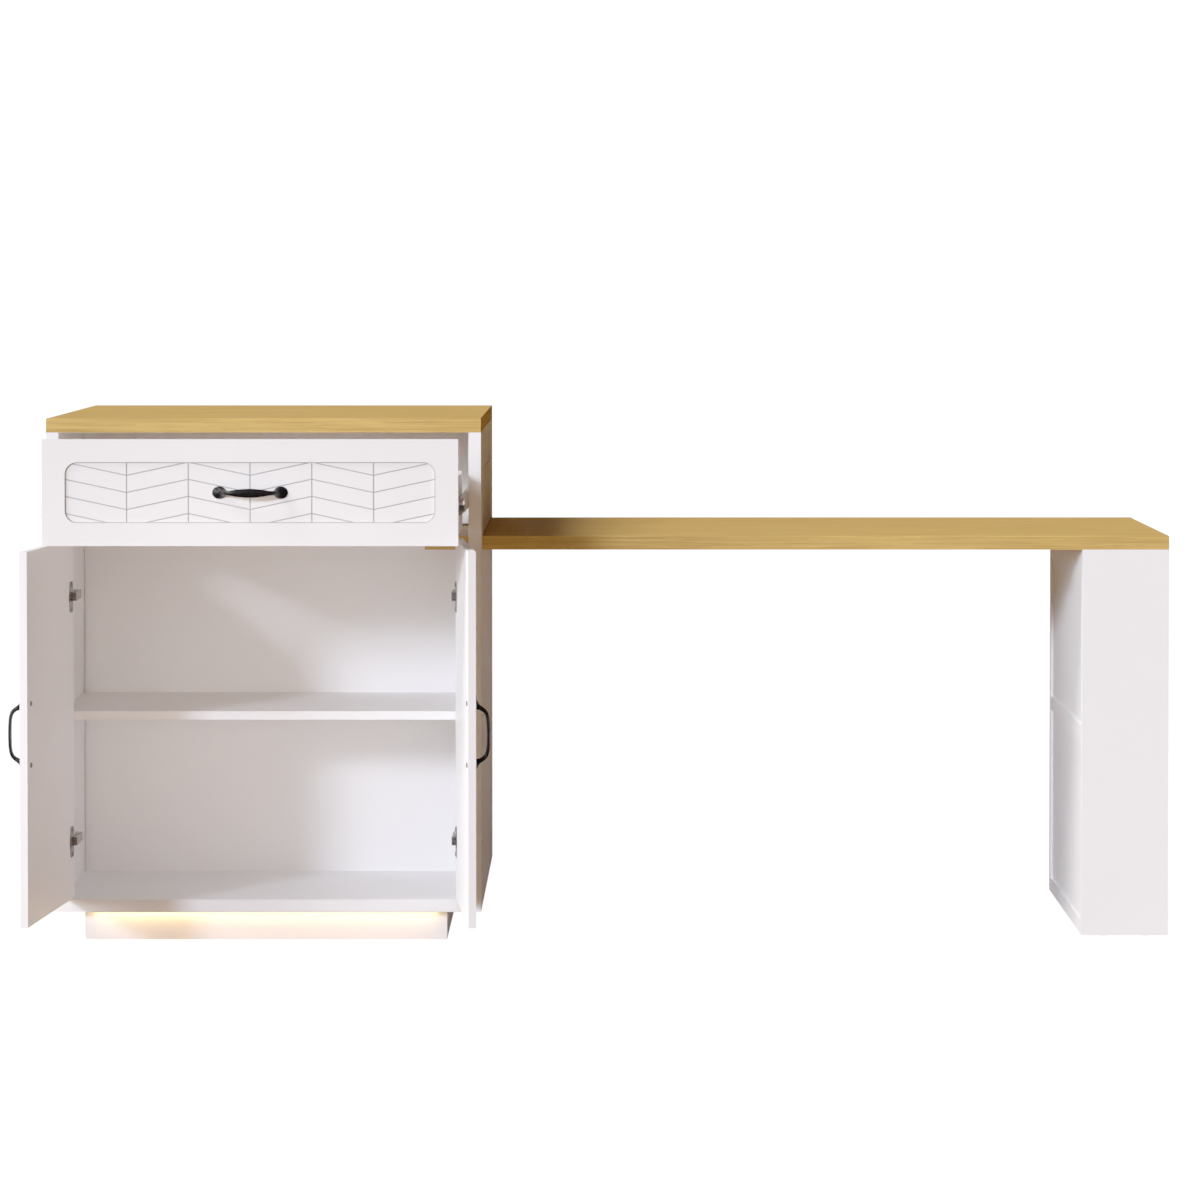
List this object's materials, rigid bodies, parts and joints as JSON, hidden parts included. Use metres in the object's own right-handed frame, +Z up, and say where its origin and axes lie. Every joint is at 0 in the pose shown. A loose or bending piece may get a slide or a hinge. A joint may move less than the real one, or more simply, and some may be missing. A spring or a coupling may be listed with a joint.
{
  "type": "kitchen island",
  "caption": "Kitchen island cabinet with a chevron drawer and doors in front, open shelves behind, a lit plinth, and a wood-look table on a shelved leg that slides into its side.",
  "frame": {"origin": "on the floor under the middle of the cabinet", "axes": "+X along the length towards the table's leg, -Y towards the doors and drawer, +Z up"},
  "size_m": [2.0247, 1.0691, 0.932],
  "materials": {
    "white_lacquer": "satin white lacquer on fibreboard",
    "oak_laminate": "honey oak laminate with fine lengthwise grain",
    "black_metal": "satin black",
    "plated_steel": "nickel plated",
    "white_coated_steel": "powder coated",
    "nylon": "natural nylon",
    "raw_wood": "unfinished softwood",
    "aluminium": "anodised",
    "circuit_strip": "light strip",
    "warm_light": "frosted cover, lit warm white",
    "black_plastic": "moulded"
  },
  "bodies": {
    "carcass": {"cabinet_top": "oak_laminate", "bottom_board": "white_lacquer", "left_side_panel": "white_lacquer", "right_side_panel": "white_lacquer", "carcass_dowels": "raw_wood", "plinth_front": "white_lacquer", "plinth_rear": "white_lacquer", "plinth_sides": "white_lacquer", "plinth_bearer": "white_lacquer", "lower_divider": "white_lacquer", "upper_divider": "white_lacquer", "front_shelf": "white_lacquer", "rear_shelf": "white_lacquer", "shelf_pins": "plated_steel", "niche_floor": "white_lacquer", "table_bearer": "raw_wood", "bearer_glide": "nylon", "sill_glide": "nylon", "light_channel": "aluminium", "light_strip": "circuit_strip", "light_diffuser": "warm_light", "light_battery_box": "black_plastic", "runner_outer_members": "white_coated_steel", "hinge_plates": "plated_steel", "hinge_arms": "plated_steel", "hinge_plate_screws": "plated_steel"},
    "drawer": {"drawer_front": "white_lacquer", "drawer_handle": "black_metal", "drawer_handle_screws": "plated_steel", "drawer_right_side": "white_lacquer", "drawer_left_side": "white_lacquer", "drawer_back": "white_lacquer", "drawer_bottom": "white_lacquer", "runner_inner_members": "white_coated_steel"},
    "runner_middle": {"runner_middle_members": "white_coated_steel"},
    "left_door": {"left_door": "white_lacquer", "left_door_handle": "black_metal", "left_door_handle_screws": "plated_steel", "left_hinge_cups": "plated_steel", "left_hinge_pins": "plated_steel", "left_hinge_cup_screws": "plated_steel"},
    "right_door": {"right_door": "white_lacquer", "right_door_handle": "black_metal", "right_door_handle_screws": "plated_steel", "right_hinge_cups": "plated_steel", "right_hinge_pins": "plated_steel", "right_hinge_cup_screws": "plated_steel"},
    "table": {"tabletop": "oak_laminate", "stop_block": "raw_wood", "leg_front_panel": "white_lacquer", "leg_rear_panel": "white_lacquer", "leg_top_rail": "white_lacquer", "leg_shelf": "white_lacquer", "leg_bottom_board": "white_lacquer", "leg_back_panels": "white_lacquer", "leg_brackets": "plated_steel", "leg_bracket_screws": "plated_steel", "leg_glides": "nylon"}
  },
  "joints": [
    {"name": "drawer_slide", "type": "slide", "parent": "carcass", "child": "drawer", "axis": [0, -1, 0], "range_m": [-0.284, 0.026]},
    {"name": "runner_slide", "type": "slide", "parent": "carcass", "child": "runner_middle", "axis": [0, -1, 0], "range_m": [-0.142, 0.013]},
    {"name": "left_door_hinge", "type": "hinge", "parent": "carcass", "child": "left_door", "pos_m": [-0.3475, -0.359, 0.3981], "axis": [0, 0, -1], "range_deg": [-95.5, 0]},
    {"name": "right_door_hinge", "type": "hinge", "parent": "carcass", "child": "right_door", "pos_m": [0.3475, -0.359, 0.3981], "axis": [0, 0, 1], "range_deg": [-95.5, 0]},
    {"name": "table_slide", "type": "slide", "parent": "carcass", "child": "table", "axis": [1, 0, 0], "range_m": [-0.64, 0]}
  ],
  "couplings": [
    {"joint": "runner_slide", "follows": "drawer_slide", "ratio": 0.5}
  ]
}
